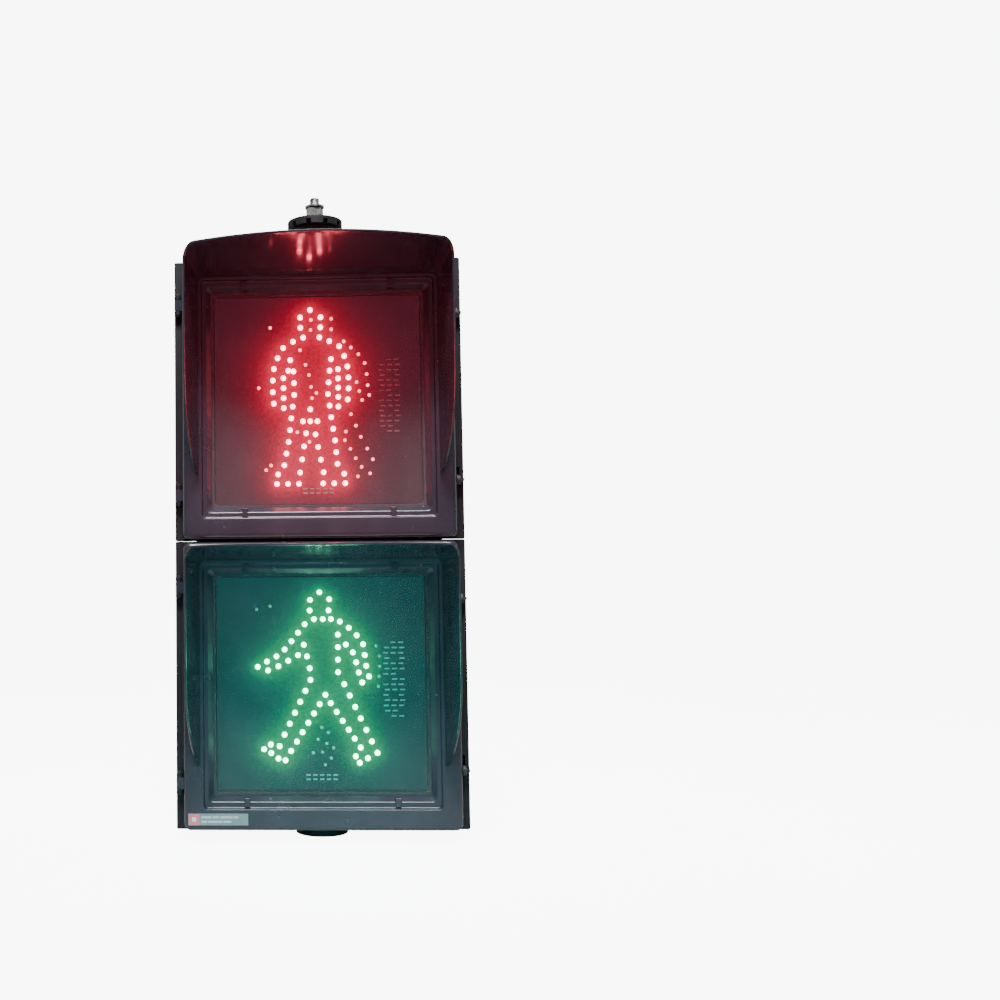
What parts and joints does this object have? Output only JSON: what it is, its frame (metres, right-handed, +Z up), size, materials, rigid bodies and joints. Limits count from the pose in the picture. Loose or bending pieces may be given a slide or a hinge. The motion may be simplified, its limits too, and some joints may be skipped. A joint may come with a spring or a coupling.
{
  "type": "pedestrian traffic light",
  "caption": "Two-section pedestrian signal head with hinged doors, hooded visors, clear lenses over a red standing and a green walking LED figure, and a vertical tie rod to mount it.",
  "frame": {"origin": "centre of the flat lower face of the bottom mounting boss, on the vertical mounting axis", "axes": "+Z up along the mounting axis, -Y towards the viewer of the signal, +X to the viewer's right"},
  "size_m": [0.345, 0.267, 0.782],
  "materials": {
    "housing_plastic": "moulded gloss black",
    "door_plastic": "moulded gloss black",
    "visor_plastic": "moulded gloss black, a little softer inside",
    "matt_plastic": "moulded matt black",
    "clear_lens": "clear polished polycarbonate",
    "rubber": "matt black rubber",
    "zinc_steel": "zinc plated",
    "red_circuit_board": "dark solder mask in red light",
    "green_circuit_board": "dark solder mask in green light",
    "driver_circuit_board": "green solder mask",
    "terminal_plastic": "pale grey moulded",
    "cable_sheath": "black sheath",
    "label": "printed film, no text",
    "red_leds": "lit red LED domes",
    "green_leds": "lit green LED domes"
  },
  "bodies": {
    "root": {"upper_housing": "housing_plastic", "lower_housing": "housing_plastic", "upper_door_seal": "rubber", "lower_door_seal": "rubber", "upper_hinge_pin_top": "matt_plastic", "upper_hinge_pin_bottom": "matt_plastic", "lower_hinge_pin_top": "matt_plastic", "lower_hinge_pin_bottom": "matt_plastic", "upper_terminal_block": "terminal_plastic", "lower_terminal_block": "terminal_plastic", "wiring_loom": "cable_sheath", "cable_grommet": "rubber", "section_seal": "rubber", "coupling_bush": "matt_plastic", "coupling_ring_nut": "matt_plastic", "neck_seal": "rubber", "top_neck": "housing_plastic", "clamp_cap": "housing_plastic", "top_plain_washer": "zinc_steel", "top_lock_washer": "zinc_steel", "top_nut": "zinc_steel", "bracket_washer": "zinc_steel", "tie_rod": "zinc_steel", "bottom_washer": "zinc_steel", "bottom_nut": "zinc_steel", "boss_seal": "rubber", "bottom_boss": "housing_plastic"},
    "upper_door": {"upper_door_frame": "door_plastic", "upper_visor": "visor_plastic", "upper_lens_seal": "rubber", "upper_lens": "clear_lens", "upper_lens_clip_top_left": "matt_plastic", "upper_lens_clip_top_right": "matt_plastic", "upper_lens_clip_bottom_left": "matt_plastic", "upper_lens_clip_bottom_right": "matt_plastic", "upper_led_carrier": "matt_plastic", "upper_led_board": "red_circuit_board", "upper_driver_board": "driver_circuit_board", "upper_module_tray": "matt_plastic"},
    "upper_latch_top": {"upper_latch_top": "matt_plastic"},
    "upper_latch_bottom": {"upper_latch_bottom": "matt_plastic"},
    "lower_door": {"lower_door_frame": "door_plastic", "lower_visor": "visor_plastic", "lower_lens_seal": "rubber", "lower_lens": "clear_lens", "lower_lens_clip_top_left": "matt_plastic", "lower_lens_clip_top_right": "matt_plastic", "lower_lens_clip_bottom_left": "matt_plastic", "lower_lens_clip_bottom_right": "matt_plastic", "lower_led_carrier": "matt_plastic", "lower_led_board": "green_circuit_board", "lower_driver_board": "driver_circuit_board", "lower_module_tray": "matt_plastic", "lower_door_label": "label"},
    "lower_latch_top": {"lower_latch_top": "matt_plastic"},
    "lower_latch_bottom": {"lower_latch_bottom": "matt_plastic"}
  },
  "joints": [
    {"name": "upper_door_hinge", "type": "hinge", "parent": "root", "child": "upper_door", "pos_m": [-0.168, -0.052, 0.522], "axis": [0, 0, -1], "range_deg": [0, 110]},
    {"name": "upper_latch_top_turn", "type": "hinge", "parent": "upper_door", "child": "upper_latch_top", "pos_m": [0.1628, -0.0545, 0.622], "axis": [1, 0, 0], "range_deg": [0, 90]},
    {"name": "upper_latch_bottom_turn", "type": "hinge", "parent": "upper_door", "child": "upper_latch_bottom", "pos_m": [0.1628, -0.0545, 0.422], "axis": [1, 0, 0], "range_deg": [0, 90]},
    {"name": "lower_door_hinge", "type": "hinge", "parent": "root", "child": "lower_door", "pos_m": [-0.168, -0.052, 0.182], "axis": [0, 0, -1], "range_deg": [0, 110]},
    {"name": "lower_latch_top_turn", "type": "hinge", "parent": "lower_door", "child": "lower_latch_top", "pos_m": [0.1628, -0.0545, 0.282], "axis": [1, 0, 0], "range_deg": [0, 90]},
    {"name": "lower_latch_bottom_turn", "type": "hinge", "parent": "lower_door", "child": "lower_latch_bottom", "pos_m": [0.1628, -0.0545, 0.082], "axis": [1, 0, 0], "range_deg": [0, 90]}
  ]
}
